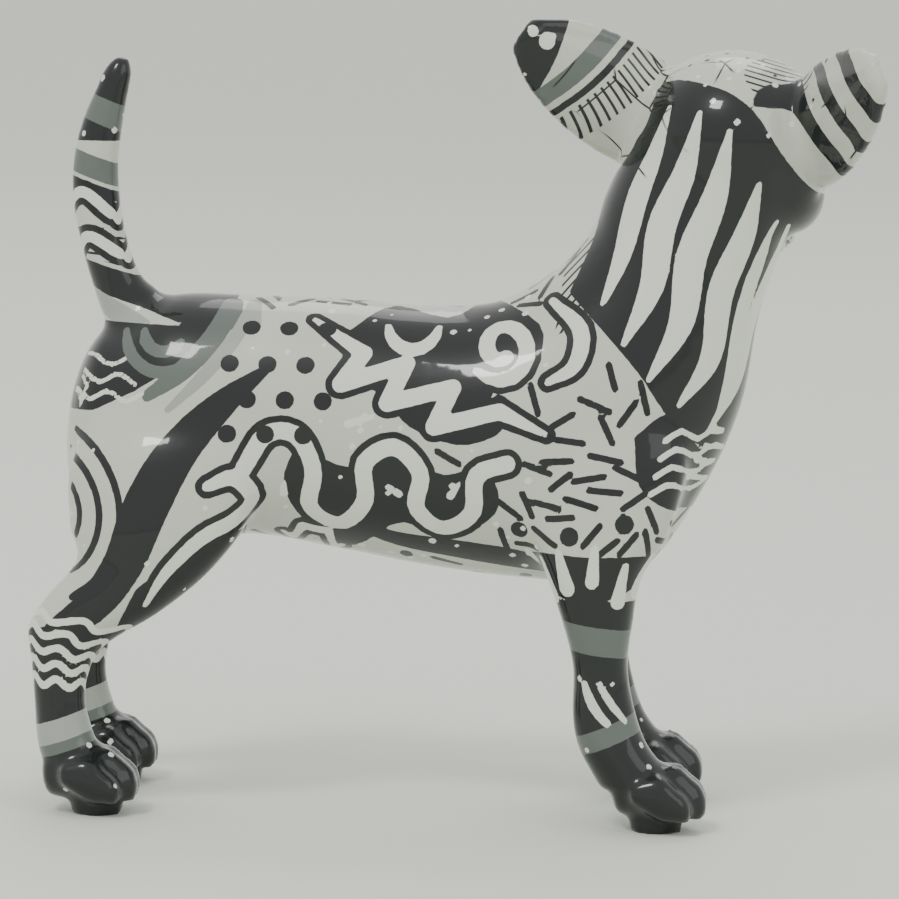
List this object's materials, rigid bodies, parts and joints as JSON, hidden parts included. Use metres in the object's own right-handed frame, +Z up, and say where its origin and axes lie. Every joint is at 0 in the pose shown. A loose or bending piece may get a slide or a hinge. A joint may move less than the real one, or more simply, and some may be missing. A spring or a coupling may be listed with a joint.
{
  "type": "dog figurine",
  "caption": "Standing smooth-coated toy dog figurine with an upright tail and its head turned over its left shoulder, cast in one piece and painted in glossy black, white and grey patterns.",
  "frame": {"origin": "on the floor, at the middle of the figure's footprint box", "axes": "+X towards the dog's chest, +Y towards its left side, +Z up"},
  "size_m": [0.1962, 0.075, 0.1865],
  "materials": {
    "painted_resin": "gloss"
  },
  "bodies": {
    "root": {"dog": "painted_resin"}
  },
  "joints": []
}
